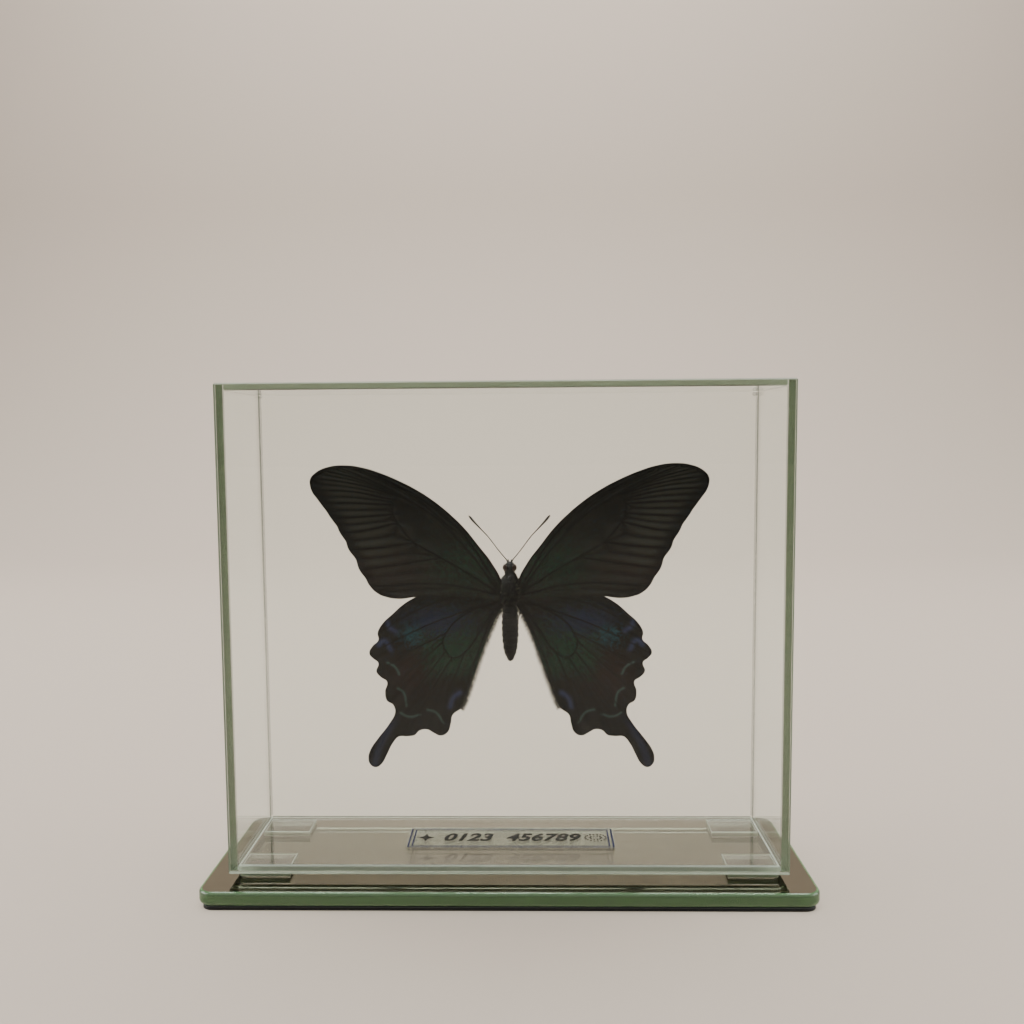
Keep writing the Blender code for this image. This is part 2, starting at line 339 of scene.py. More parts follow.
# A drop of glue was left at each back corner under the top pane.
DROPS = (("right", 1, 1, 1.0), ("left", -1, 1, 0.6))
for side_name, x, y, size in DROPS:
    spot = Vector((middle.x + x * (half.x - 0.9 * size * MM),
                   middle.y + y * (half.y - 0.7 * size * MM), inner_high.z - 0.7 * size * MM))
    drop = start(bpy.ops.mesh.primitive_uv_sphere_add, f"glue_drop_{side_name}", spot,
                 segments=24, ring_count=12, radius=size * MM)
    bpy.ops.transform.resize(value=(0.85, 0.65, 0.7))
    settle()
    bpy.ops.object.shade_smooth()
    drop.data.materials.append(glue_material)
    hold(drop, "clear_acrylic")

# ---------------------------------------------------------------------------------------------
# Label: a strip of clear film on the floor of the case, printed with a dark blue frame, plain
# slanted numbers in black and two small ornaments. The ink is a thin layer on top of the film.
INK = 0.03  # mm thick
FILM_EDGE = 0.04  # mm, the film's rounded rim
FILM_HAZE = 6.0  # mm across a hazy patch
INK_MESH = 0.4  # mm between uneven spots in the ink
DIGIT_SIZE = 7.0  # mm
DIGIT_STROKE = 0.26  # mm added to each side of a stroke
STAR_X, DIGITS_X, ROSETTE_X = -25.4, 0.4, 26.4  # mm
FRAME_X, FRAME_Y = (-30.2, 31.4), (-6.6, 6.3)  # mm
label_low, label_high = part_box("label")
label_top = label_high.z / MM


def printed_film():
    # Clear polyester film with a faint satin haze.
    film, tree, shader, place = new_material("clear_film", Roughness=0.3, IOR=1.5, Alpha=0.12)
    haze = add(tree, "TexNoise", {"Vector": place, "Scale": 1000 / FILM_HAZE,
               "Detail": 4.0})
    shade = add(tree, "Mix", {"Factor": haze.outputs["Fac"], 6: linear("#7d8371"),
                7: linear("#969c8a")}, data_type="RGBA")
    rough = add(tree, "MapRange", {"Value": haze.outputs["Fac"], "To Min": 0.2,
                "To Max": 0.4})
    wire(shader, Base_Color=shade.outputs[2], Roughness=rough.outputs[0])
    return film


def screen_ink(name, code):
    # Screen ink: matt, its cover a little uneven at the scale of the mesh.
    ink, tree, shader, place = new_material(name, Roughness=0.8, Specular_IOR_Level=0.15)
    cover = add(tree, "TexNoise", {"Vector": place, "Scale": 1000 / INK_MESH})
    pale = tuple(min(1.0, 1.5 * c + 0.004) for c in linear(code)[:3]) + (1.0,)
    shade = add(tree, "Mix", {"Factor": cover.outputs["Fac"], 6: linear(code),
                7: pale}, data_type="RGBA")
    wire(shader, Base_Color=shade.outputs[2])
    return ink


def print_mark(mark, ink, flat=True):
    """Lays a shape on the film: thickens it if it is flat, fixes it and gives it its ink."""
    only(mark)
    bpy.ops.object.mode_set(mode="EDIT")
    bpy.ops.mesh.select_all(action="SELECT")
    if flat:
        bpy.ops.mesh.extrude_region_move(TRANSFORM_OT_translate={"value": (0, 0, INK * MM)})
        bpy.ops.mesh.select_all(action="SELECT")
    bpy.ops.mesh.normals_make_consistent(inside=False)
    settle()
    mark.data.materials.clear()
    mark.data.materials.append(ink)
    hold(mark, "label_film")


film = start(bpy.ops.mesh.primitive_cube_add, "label_film", (label_low + label_high) / 2, size=1)
bpy.ops.transform.resize(value=label_high - label_low)
bpy.ops.mesh.bevel(offset=FILM_EDGE * MM, segments=1)
settle()
film.data.materials.append(printed_film())
hold(film, "label_film", "label")

blue_ink, violet_ink, black_ink = (screen_ink(*pair) for pair in (
    ("dark_blue_ink", "#0d1330"), ("violet_blue_ink", "#191c38"), ("black_ink", "#040404")))
RULES = (  # middle x, middle y, width, depth, ink
    (0.6, FRAME_Y[0], FRAME_X[1] - FRAME_X[0], 0.35, violet_ink),
    (0.6, FRAME_Y[1], FRAME_X[1] - FRAME_X[0], 0.35, violet_ink),
    (FRAME_X[0], -0.15, 0.5, 12.9, blue_ink), (FRAME_X[0] + 1.2, -0.15, 0.45, 11.6, blue_ink),
    (FRAME_X[1], -0.15, 0.5, 12.9, blue_ink), (FRAME_X[1] - 1.2, -0.15, 0.45, 11.6, blue_ink),
    (0.6, FRAME_Y[0] + 0.75, 59.2, 0.3, blue_ink), (0.6, FRAME_Y[1] - 0.75, 59.2, 0.3, blue_ink))
for number, (x, y, wide, deep, ink) in enumerate(RULES):
    rule = start(bpy.ops.mesh.primitive_plane_add, f"label_rule_{number}",
                 (x * MM, y * MM, label_top * MM), size=1)
    bpy.ops.transform.resize(value=(wide * MM, deep * MM, 1))
    bpy.ops.object.mode_set(mode="OBJECT")
    print_mark(rule, ink)

bpy.ops.object.select_all(action="DESELECT")
bpy.ops.object.text_add(location=(0, 0, 0))
digits = bpy.context.object
digits.name = "label_digits"
digits.data.body = "0123  456789"
digits.data.size = DIGIT_SIZE * MM
digits.data.shear = 0.28
digits.data.bevel_depth = DIGIT_STROKE * MM
digits.data.bevel_resolution = 1
digits.data.space_character = 1.06
digits.data.align_x, digits.data.align_y = "CENTER", "CENTER"
bpy.ops.object.convert(target="MESH")
bpy.ops.object.mode_set(mode="EDIT")
bpy.ops.mesh.select_all(action="SELECT")
bpy.ops.mesh.remove_doubles(threshold=0.002 * MM)
bpy.ops.transform.resize(value=(1, 1, INK / (2 * DIGIT_STROKE)), center_override=(0, 0, 0))
bpy.ops.object.mode_set(mode="OBJECT")
digits.location = (DIGITS_X * MM, 0, (label_top + INK / 2) * MM)
print_mark(digits, black_ink, flat=False)

star = start(bpy.ops.mesh.primitive_circle_add, "label_star", (STAR_X * MM, 0, label_top * MM),
             vertices=8, radius=2.5 * MM, fill_type="NGON")
bpy.ops.mesh.select_mode(type="VERT")
bpy.ops.mesh.select_all(action="DESELECT")
bpy.ops.object.mode_set(mode="OBJECT")
for vertex in star.data.vertices:
    vertex.select = vertex.index % 2 == 1
bpy.ops.object.mode_set(mode="EDIT")
bpy.ops.transform.resize(value=(0.42, 0.42, 1))
bpy.ops.object.mode_set(mode="OBJECT")
print_mark(star, black_ink)

DOT_RINGS = ((18, 3.2, 2.4, 0.32), (10, 1.7, 1.2, 0.34))  # dots, half width, half depth, radius
dots = []
for count, wide, deep, radius in DOT_RINGS:
    for number in range(count):
        turn = 2 * math.pi * number / count
        bpy.ops.object.select_all(action="DESELECT")
        bpy.ops.mesh.primitive_circle_add(vertices=10, radius=radius * MM, fill_type="NGON",
                                          location=((ROSETTE_X + wide * math.cos(turn)) * MM,
                                                    deep * math.sin(turn) * MM, label_top * MM))
        dots.append(bpy.context.object)
bpy.ops.object.select_all(action="DESELECT")
for dot in dots:
    dot.select_set(True)
bpy.context.view_layer.objects.active = dots[0]
bpy.ops.object.join()
dots[0].name = "label_rosette"
print_mark(dots[0], black_ink)

# ---------------------------------------------------------------------------------------------
# Support rod: a short clear acrylic rod, glued by a drop at each end, that holds the butterfly
# out from the back pane and hides behind its body.
SAW_MARK = 0.8  # mm between the saw's marks
ROD_DROP = 2.1  # mm, the radius of the drop of glue at each end


def cast_acrylic():
    # Clear cast acrylic with the faint rings that a saw leaves at the ends.
    acrylic, tree, shader, place = new_material("cast_acrylic", IOR=1.49, Transmission_Weight=1.0,
                                                Base_Color=linear("#f4f6f2"))
    saw = add(tree, "TexNoise", {"Vector": place, "Scale": 1000 / SAW_MARK})
    rough = add(tree, "MapRange", {"Value": saw.outputs["Fac"], "To Min": 0.01,
                "To Max": 0.12})
    wire(shader, Roughness=rough.outputs[0])
    return acrylic


give("support_rod", cast_acrylic())
rod_low, rod_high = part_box("support_rod")
rod_middle = (rod_low + rod_high) / 2
for end, y in (("thorax", rod_low.y), ("pane", rod_high.y)):
    drop = start(bpy.ops.mesh.primitive_uv_sphere_add, f"glue_drop_{end}",
                 (rod_middle.x, y, rod_middle.z), segments=32, ring_count=16, radius=ROD_DROP * MM)
    bpy.ops.transform.resize(value=(1, 0.3, 1))
    if end == "pane":
        bpy.ops.mesh.bisect(plane_co=(0, inner_high.y - 0.02 * MM, 0), plane_no=(0, 1, 0),
                            use_fill=True, clear_outer=True)
    settle()
    bpy.ops.object.shade_smooth_by_angle(angle=math.radians(50))
    drop.data.materials.append(glue_material)
    hold(drop, "clear_acrylic")

# ---------------------------------------------------------------------------------------------
# Body: the head, thorax and abdomen of a dried butterfly, of dark brown horn ringed along the
# abdomen, with compound eyes, legs folded behind and a coiled tongue. It grew in one piece.
# Sizes are in millimetres; heights are from the case's underside.
SPECIMEN_X = 0.8
SPECIMEN_Y = 1.0
CASE_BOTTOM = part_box("front_pane")[0].z / MM
BODY_SIDES = 20
WRINKLE = 0.5  # mm between wrinkles of the horn
FACET_RIM, FACET_RISE = 0.016, 0.02  # mm, round each facet of an eye
ABDOMEN_RINGS = 9
ABDOMEN = ((57.2, 58.5, 61.0, 65.0, 69.0, 72.0, 74.2), (0.4, 1.3, 2.0, 2.4, 2.45, 2.25, 2.0))
THORAX = ((74.8, 2.2, 2.4), (76.2, 2.5, 3.0), (78.6, 2.6, 3.3), (80.6, 2.4, 3.1),
          (82.3, 1.95, 2.4), (83.5, 1.45, 1.5), (84.1, 1.2, 1.2), (84.8, 1.5, 1.45),
          (85.6, 1.7, 1.6), (86.5, 1.5, 1.3), (87.1, 0.9, 0.8), (87.4, 0.3, 0.3))
LEGS = (  # distance from the body's middle, distance behind it, height, radius
    ((1.2, 2.6, 80.5, 0.32), (3.6, 4.2, 78.0, 0.26), (4.3, 4.8, 75.6, 0.2),
     (2.4, 4.6, 72.0, 0.16), (1.6, 4.3, 68.5, 0.11), (1.3, 4.0, 66.2, 0.07)),
    ((1.3, 2.8, 78.4, 0.34), (3.4, 3.6, 75.6, 0.28), (3.3, 2.6, 73.3, 0.2),
     (2.7, 2.0, 70.6, 0.15), (2.3, 1.6, 68.5, 0.1), (2.2, 1.5, 67.6, 0.06)),
    ((1.0, 2.9, 82.0, 0.28), (1.5, 4.8, 83.0, 0.22), (1.9, 5.4, 81.6, 0.17),
     (1.5, 5.3, 79.6, 0.12), (1.2, 5.0, 78.0, 0.07)))


def body_place(x, y, height):
    """A point given from the body's middle, in metres."""
    return Vector((SPECIMEN_X + x, SPECIMEN_Y + y, CASE_BOTTOM + height)) * MM


def horn(name, code, tip_code, roughness):
    # Dried insect horn: dark, waxy and finely wrinkled, redder towards the abdomen's tip.
    skin, tree, shader, place = new_material(name, Roughness=roughness, Specular_IOR_Level=0.3)
    height = add(tree, "SeparateXYZ", {"Vector": place}).outputs["Z"]
    tip = add(tree, "MapRange", {"Value": height,
              "From Min": (CASE_BOTTOM + 57.2) * MM, "From Max": (CASE_BOTTOM + 61.5) * MM})
    wrinkle = add(tree, "TexNoise", {"Vector": place, "Scale": 1000 / WRINKLE,
                  "Detail": 4.0})
    low = add(tree, "Mix", {"Factor": tip.outputs[0], 6: linear(tip_code),
              7: linear(code)}, data_type="RGBA")
    worn = add(tree, "MapRange", {"Value": wrinkle.outputs["Fac"], "From Min": 0.4,
               "From Max": 0.75, "To Max": 0.5})
    shade = add(tree, "Mix", {"Factor": worn.outputs[0], 6: low.outputs[2],
                7: linear("#15110d")}, data_type="RGBA")
    bump = add(tree, "Bump", {"Height": wrinkle.outputs["Fac"], "Strength": 0.5,
               "Distance": 0.06 * MM})
    wire(shader, Base_Color=shade.outputs[2], Normal=bump.outputs[0])
    return skin


def reshape(piece, kind, **settings):
    """Adds a modifier with its settings and applies it to the one piece that is selected."""
    step = piece.modifiers.new("step", kind)
    for name, value in settings.items():
        setattr(step, name, value)
    bpy.ops.object.modifier_apply(modifier="step")


def finish_smooth(piece, material, levels=0):
    """Faces outwards, rounds, smooths and gives a finish."""
    only(piece)
    bpy.ops.object.mode_set(mode="EDIT")
    bpy.ops.mesh.select_all(action="SELECT")
    bpy.ops.mesh.normals_make_consistent(inside=False)
    bpy.ops.object.mode_set(mode="OBJECT")
    if levels:
        reshape(piece, "SUBSURF", levels=levels)
    bpy.ops.object.shade_smooth()
    piece.data.materials.clear()
    piece.data.materials.append(material)


def curve_through(places):
    """A smooth curve through places given in metres."""
    bpy.ops.object.select_all(action="DESELECT")
    bpy.ops.curve.primitive_bezier_curve_add()
    curve = bpy.context.object
    knots = curve.data.splines[0].bezier_points
    knots.add(len(places) - len(knots))
    for knot, place in zip(knots, places):
        knot.co = place
        knot.handle_left_type = knot.handle_right_type = "AUTO"
    curve.data.resolution_u = 8
    return curve


def limb(name, path, material):
    """A thin round limb along a smooth line. Each point has its place and its radius."""
    made = curve_through([body_place(*place) for *place, _ in path])
    made.name = name
    for knot, point in zip(made.data.splines[0].bezier_points, path):
        knot.radius = point[-1]
    made.data.bevel_depth = 1 * MM
    made.data.bevel_resolution = 3
    made.data.use_fill_caps = True
    bpy.ops.object.convert(target="MESH")
    finish_smooth(bpy.context.object, material)
    return bpy.context.object


dark_horn = horn("dried_horn", "#060404", "#1c0c08", 0.65)
rings = []
ring_height = (ABDOMEN[0][-1] - ABDOMEN[0][0]) / ABDOMEN_RINGS
for number in range(ABDOMEN_RINGS):
    for share, swell in ((0.0, 1.05), (0.12, 1.06), (0.75, 0.98), (0.96, 0.9)):
        height = ABDOMEN[0][0] + (number + share) * ring_height
        radius = float(np.interp(height, *ABDOMEN)) * swell
        rings.append((height, radius, radius * 1.06))
rings += THORAX
body = start(bpy.ops.mesh.primitive_circle_add, "body_horn", body_place(0, 0, rings[0][0]),
             vertices=BODY_SIDES, radius=1 * MM, fill_type="NGON")
bpy.ops.transform.resize(value=(rings[0][1], rings[0][2], 1))
for (low, wide, deep), (high, next_wide, next_deep) in zip(rings, rings[1:]):
    bpy.ops.mesh.extrude_region_move(TRANSFORM_OT_translate={"value": (0, 0, (high - low) * MM)})
    bpy.ops.transform.resize(value=(next_wide / wide, next_deep / deep, 1))
settle()
finish_smooth(body, dark_horn, levels=2)
hold(body, "body_hair_and_chitin", "body")

eye_horn = horn("eye_facets", "#3b2416", "#3b2416", 0.28)
for side_name, side in (("right", 1), ("left", -1)):
    eye = start(bpy.ops.mesh.primitive_ico_sphere_add, f"eye_{side_name}",
                body_place(side * 1.3, -0.5, 85.6), subdivisions=4, radius=1 * MM)
    bpy.ops.transform.resize(value=(0.8, 1.05, 1.05))
    bpy.ops.mesh.inset(thickness=FACET_RIM * MM, depth=FACET_RISE * MM, use_individual=True)
    settle()
    eye.data.materials.append(eye_horn)
    hold(eye, "body_hair_and_chitin")
    for number, path in enumerate(LEGS):
        tuck = 1.0 if side > 0 else 0.6  # the left legs dried closer to the body
        leg = limb(f"leg_{side_name}_{number}", [(side * tuck * x, y, height, radius)
                   for x, y, height, radius in path], dark_horn)
        hold(leg, "body_hair_and_chitin")
    palp = limb(f"palp_{side_name}", [(side * 0.45, 1.2, 84.6, 0.3), (side * 0.6, 1.9, 85.8, 0.38),
                (side * 0.55, 1.9, 87.0, 0.3), (side * 0.45, 1.6, 87.8, 0.12)], dark_horn)
    hold(palp, "body_hair_and_chitin")

TONGUE_TURNS = 3.0
TONGUE_STEPS = 36
tongue_path = []
for step in range(TONGUE_STEPS + 1):
    share = step / TONGUE_STEPS
    turn = 2 * math.pi * TONGUE_TURNS * share
    reach = 0.25 + 0.85 * share
    tongue_path.append((0.0, 2.5 + reach * math.cos(turn), 84.4 + reach * math.sin(turn),
                        0.09 + 0.05 * share))
hold(limb("tongue", tongue_path, dark_horn), "body_hair_and_chitin")

# Antennae: fine dark threads of short joints that thicken into a club, rooted between the eyes.
ANTENNA = (  # distance from the body's middle, distance behind it, height, radius
    (0.5, -0.2, 86.9, 0.2), (0.9, -0.2, 87.8, 0.17), (2.2, -0.1, 89.4, 0.15),
    (3.8, 0.0, 91.4, 0.14), (5.2, 0.0, 93.3, 0.14), (6.6, 0.0, 95.1, 0.15),
    (8.1, 0.0, 96.7, 0.18), (9.5, 0.0, 98.2, 0.25), (10.7, 0.0, 99.5, 0.34),
    (11.6, 0.0, 100.6, 0.36), (12.1, 0.0, 101.2, 0.16))
JOINT = 0.35  # mm to one radian of the wave, so that a dark ring comes every 2.2 mm
WAVE_RATE = 20  # radians to a metre in a wave texture whose scale is one


def jointed_horn():
    # Black horn in fine rings.
    skin, tree, shader, place = new_material("jointed_horn", Roughness=0.4)
    joints = add(tree, "TexWave", {"Vector": place, "Scale": 1000 / JOINT / WAVE_RATE,
                 "Distortion": 0.3}, bands_direction="Z")
    shade = add(tree, "Mix", {"Factor": joints.outputs["Fac"], 6: linear("#0b0908"),
                7: linear("#2b211a")}, data_type="RGBA")
    bump = add(tree, "Bump", {"Height": joints.outputs["Fac"], "Strength": 0.6,
               "Distance": 0.05 * MM})
    wire(shader, Base_Color=shade.outputs[2], Normal=bump.outputs[0])
    return skin


antenna_horn = jointed_horn()
for side_name, side in (("right", 1), ("left", -1)):
    antenna = limb(f"antenna_jointed_{side_name}", [(side * x, y, height, radius)
                   for x, y, height, radius in ANTENNA], antenna_horn)
    hold(antenna, "antenna_chitin", f"antenna_{side_name}")

# ---------------------------------------------------------------------------------------------
# Wings: four dry membranes a few hundredths of a millimetre thick, stiffened by hollow veins
# and shingled with black, olive, green and blue scales. They were spread flat while soft and
# lean a little to the front. The sizes here are in millimetres, from the body's middle outwards
# and from the case's underside upwards.
WING_LEAN = math.tan(math.radians(3))
SLICE = 0.8  # mm between cuts across a wing's sheet, before it is divided twice more
SHEET = 0.1  # mm, drawn thicker than a real membrane so that it has two sides
FOREWING_FRONT, HINDWING_FRONT = -1.4, -0.7  # mm from the body's middle to each pair of wings
FOREWING_EDGE = (
    (2.3, 81.0), (5.2, 87.0), (9.3, 92.5), (13.3, 97.6), (17.7, 102.0), (22.0, 105.6),
    (26.7, 108.8), (32.5, 111.9), (38.1, 114.3), (43.2, 115.9), (48.5, 116.6), (53.2, 116.1),
    (56.6, 114.6), (58.4, 112.4), (58.2, 109.6), (55.8, 105.8), (54.1, 103.4), (52.7, 101.2),
    (51.1, 98.9), (50.0, 96.6), (48.5, 94.2), (47.6, 91.7), (45.7, 88.9), (44.6, 85.7),
    (42.8, 82.9), (41.5, 80.6), (39.6, 78.6), (37.4, 77.5), (33.0, 76.7), (28.0, 77.2),
    (18.0, 77.2), (9.0, 76.6), (2.3, 76.0))
FOREWING_MARGIN = slice(13, 28)
FOREWING_VEINS = (
    ((3.8, 80.6), (13.5, 95.6), (25.0, 106.0), (38.0, 113.2)),
    ((17.0, 97.5), (28.0, 107.2), (43.0, 115.0)),
    ((25.0, 103.6), (38.0, 110.9), (49.5, 115.8)),
    ((3.8, 79.4), (14.0, 93.0), (25.0, 103.4), (33.0, 107.5), (44.0, 112.4), (54.5, 115.2)),
    ((33.0, 107.5), (45.0, 111.0), (57.4, 112.9)),
    ((33.8, 106.3), (46.0, 108.8), (58.0, 109.4)),
    ((34.4, 104.8), (45.0, 105.4), (55.6, 105.6)),
    ((34.2, 102.0), (43.0, 101.4), (52.5, 101.1)),
    ((33.0, 99.5), (42.0, 97.4), (49.8, 96.5)),
    ((28.0, 93.5), (38.0, 92.2), (47.4, 91.6)),
    ((20.5, 89.0), (32.0, 87.2), (44.4, 85.6)),
    ((3.8, 77.8), (20.0, 81.0), (41.3, 80.4)),
    ((3.8, 78.6), (14.0, 85.2), (20.5, 89.0), (28.0, 93.5), (33.0, 99.5), (34.2, 102.0),
     (34.4, 104.8), (33.8, 106.3), (33.0, 107.5)))
PALE_BAND = ((49.0, 111.5), (46.4, 107.0), (44.4, 101.6), (42.2, 96.3), (40.5, 91.0))
HINDWING_EDGE = (
    (2.2, 77.6), (14.0, 79.6), (22.5, 78.8), (27.8, 77.2), (31.8, 74.9), (35.2, 71.9),
    (38.0, 69.3), (39.6, 66.4), (39.5, 64.1), (41.2, 62.4), (42.2, 60.2), (41.1, 58.6),
    (39.6, 57.1), (40.2, 54.6), (38.8, 52.8), (37.1, 51.3), (37.7, 48.6), (37.2, 45.7),
    (35.3, 44.1), (34.8, 42.2), (36.6, 38.6), (40.0, 34.2), (42.5, 30.5), (43.1, 28.2),
    (42.6, 26.2), (41.0, 25.2), (39.2, 26.2), (37.5, 29.1), (35.8, 32.4), (33.8, 34.5),
    (31.0, 34.6), (29.2, 34.9), (27.4, 36.4), (25.4, 36.5), (23.4, 35.6), (21.3, 34.6),
    (19.2, 35.6), (18.2, 38.1), (17.6, 40.8), (15.0, 43.0), (13.4, 46.2), (11.6, 51.0),
    (9.5, 57.0), (7.6, 62.5), (5.6, 67.4), (3.6, 71.8), (2.0, 74.4))
HINDWING_MARGIN = slice(7, 40)
HINDWING_VEINS = (
    ((4.0, 76.5), (14.0, 77.0), (27.0, 73.4), (39.4, 66.2)),
    ((10.0, 73.8), (24.0, 68.8), (42.0, 60.2)),
    ((19.0, 66.2), (30.0, 60.6), (40.0, 54.4)),
    ((20.2, 63.4), (29.0, 55.6), (37.5, 47.6)),
    ((19.4, 60.6), (27.0, 50.5), (34.0, 41.5), (39.4, 32.0), (41.2, 26.4)),
    ((17.5, 58.6), (24.5, 47.0), (30.6, 34.9)),
    ((13.8, 60.0), (18.6, 47.5), (21.4, 35.0)),
    ((5.5, 70.0), (10.8, 57.0), (15.2, 43.6)),
    ((4.0, 75.5), (11.0, 73.0), (17.0, 69.0), (19.0, 66.2), (20.2, 63.4), (19.4, 60.6),
     (17.5, 58.6), (13.8, 60.0), (9.0, 66.5), (4.0, 74.0)))
TAIL_VEIN = 4
CRESCENTS = (
    ((36.8, 70.0), (36.0, 68.0), (34.3, 66.8)), ((39.3, 62.6), (37.8, 63.9), (35.8, 61.2)),
    ((36.9, 57.3), (34.9, 56.2), (33.4, 53.7)), ((33.9, 49.4), (32.1, 47.8), (31.4, 44.0)),
    ((33.4, 42.0), (30.9, 40.6), (27.4, 41.2)), ((25.1, 42.7), (22.4, 41.6), (20.4, 38.5)),
    ((18.2, 43.4), (17.4, 46.0), (15.4, 47.7)))
VIOLET_CRESCENTS, PALE_CRESCENTS = [0, 1, 6], [2, 3, 4, 5]


def smooth_line(points, closed=False):
    """A smooth line through points of the wings' plane, as an object made of edges, in metres."""
    line = curve_through([(x * MM, 0, height * MM) for x, height in points])
    line.data.splines[0].use_cyclic_u = closed
    bpy.ops.object.convert(target="MESH")
    return bpy.context.object


def line_points(points):
    """The same line as an array of points in millimetres."""
    line = smooth_line(points)
    found = np.array([(v.co.x, v.co.z) for v in line.data.vertices]) / MM
    bpy.data.objects.remove(line)
    return found


def distance_to(points, line):
    """How far each point is from a line, in millimetres."""
    start, step = line[:-1], np.diff(line, axis=0)
    away = points[:, None] - start
    share = np.clip((away * step).sum(2) / (step ** 2).sum(1), 0, 1)
    return np.linalg.norm(away - share[..., None] * step, axis=2).min(1)


def rise(values, low, high):
    """0 below low, 1 above high, and a smooth step between."""
    share = np.clip((values - low) / (high - low), 0, 1)
    return share * share * (3 - 2 * share)


def near(points, centre, wide, high):
    """1 at a centre, fading over an ellipse of that half width and half height."""
    away = (points - centre) / (wide, high)
    return np.exp(-(away ** 2).sum(1))


def sliced_sheet(name, edge):
    """The wing's outline, filled, sliced into small squares and thickened evenly."""
    sheet = smooth_line(edge, closed=True)
    sheet.name = name
    bpy.ops.object.mode_set(mode="EDIT")
    bpy.ops.mesh.select_all(action="SELECT")
    bpy.ops.mesh.edge_face_add()
    for axis in (0, 1):
        low, high = min(p[axis] for p in edge), max(p[axis] for p in edge)
        normal = (1, 0, 0) if axis == 0 else (0, 0, 1)
        for cut in np.arange(low + SLICE / 3, high, SLICE):
            bpy.ops.mesh.select_all(action="SELECT")
            bpy.ops.mesh.bisect(plane_co=tuple(cut * MM * n for n in normal), plane_no=normal,
                                threshold=1e-7)
    bpy.ops.object.mode_set(mode="OBJECT")
    reshape(sheet, "SUBSURF", subdivision_type="SIMPLE", levels=2)
    reshape(sheet, "SOLIDIFY", thickness=SHEET * MM, offset=0)
    return sheet


def shape_wing(sheet, root_y, veins, edge, margin):
    """Raises the veins, sinks the skin between them and leans the wing. Gives the points of the
    wing's plane and guides for its markings."""
    mesh = sheet.data
    raw = np.zeros(len(mesh.vertices) * 3)
    mesh.vertices.foreach_get("co", raw)
    raw = raw.reshape(-1, 3) / MM
    points, side = raw[:, (0, 2)], np.sign(raw[:, 1])
    away = np.linalg.norm(points - np.array(edge[0]), axis=1)
    to_margin = distance_to(points, line_points(edge[margin]))
    reach = away / (away + to_margin)
    apart = np.array([distance_to(points, line_points(vein)) for vein in veins])
    rims = [line_points(edge[:margin.start + 1]), line_points(edge[margin.stop - 1:])]
    bounds = np.sort(np.vstack([apart, [distance_to(points, rim) for rim in rims]]), axis=0)
    between = 2 * bounds[0] / (bounds[0] + bounds[1] + 1e-6)
    vein_width = 0.34 - 0.2 * reach
    ridge = np.exp(-(apart.min(0) / vein_width) ** 2)
    costa = np.exp(-(distance_to(points, rims[0]) / 0.45) ** 2)
    sink = 0.28 * rise(between, 0, 1) * np.minimum(1, (bounds[0] + bounds[1]) / 5)
    pleat = 0.1 * np.cos(2 * math.pi * between) * rise(reach, 0.3, 0.7)
    ripple = 0.05 * np.sin(points[:, 0] * 1.3 + points[:, 1] * 0.7)
    middle = SPECIMEN_Y + root_y - WING_LEAN * points[:, 0] + sink + pleat + ripple
    thick = SHEET / 2 + 0.13 * ridge + 0.16 * costa
    x = SPECIMEN_X + points[:, 0]
    place = np.stack([x, middle + side * thick, CASE_BOTTOM + points[:, 1]], axis=1) * MM
    mesh.vertices.foreach_set("co", place.ravel())
    guides = {"vein": np.maximum(ridge, costa), "between": between, "reach": reach,
              "margin": to_margin}
    return points, guides


def mark(sheet, **amounts):
    """Stores each marking's amount, from 0 to 1, on the wing's points."""
    for name, amount in amounts.items():
        kept = sheet.data.attributes.new(name, "FLOAT", "POINT")
        kept.data.foreach_set("value", np.clip(amount, 0, 1).astype(np.float32))
    sheet.data.update()


forewing = sliced_sheet("forewing_scaled_right", FOREWING_EDGE)
points, guide = shape_wing(forewing, FOREWING_FRONT, FOREWING_VEINS, FOREWING_EDGE,
                           FOREWING_MARGIN)
stripes = np.sin(math.pi * guide["between"]) ** 1.4
glow = np.exp(-(distance_to(points, line_points(PALE_BAND)) / 6.5) ** 2)
outer = rise(guide["reach"], 0.4, 0.62) * rise(guide["margin"], 0.8, 4.5)
velvet = near(points, (36.0, 85.5), 11.0, 5.5) * rise(guide["reach"], 0.35, 0.55)
mark(forewing, vein=guide["vein"], stripe=stripes * outer * (0.3 + 0.9 * glow),
     velvet=velvet * (0.55 + 0.45 * stripes), green=0.5 * near(points, (12.0, 86.0), 13.0, 9.0),
     olive=0.5 * (1 - rise(guide["reach"], 0.45, 0.75)) * (1 - velvet))

hindwing = sliced_sheet("hindwing_scaled_right", HINDWING_EDGE)
points, guide = shape_wing(hindwing, HINDWING_FRONT, HINDWING_VEINS, HINDWING_EDGE,
                           HINDWING_MARGIN)
arcs = np.array([distance_to(points, line_points(arc)) for arc in CRESCENTS])
violet_arcs, pale_arcs = arcs[VIOLET_CRESCENTS].min(0), arcs[PALE_CRESCENTS].min(0)
tail = distance_to(points, line_points(HINDWING_VEINS[TAIL_VEIN][2:]))
tail_glow = np.exp(-(tail / 1.1) ** 2) * (1 - rise(points[:, 1], 36.0, 43.0))
disc = near(points, (18.0, 59.5), 11.0, 13.0) * (1 - rise(guide["reach"], 0.66, 0.82))
dusting = near(points, (22.8, 69.5), 10.5, 4.5) * (1 - rise(guide["reach"], 0.78, 0.9))
mark(hindwing, vein=guide["vein"] * (1 - tail_glow), velvet=near(points, (29.5, 54.0), 8.0, 8.0),
     green=0.8 * disc, blue=dusting, teal=0.75 * near(points, (29.6, 65.6), 4.2, 3.4),
     violet=np.exp(-(violet_arcs / 0.8) ** 2) + 0.55 * tail_glow,
     crescent=np.exp(-(pale_arcs / 0.36) ** 2),
     olive=0.4 * near(points, (12.0, 60.0), 10.0, 16.0))

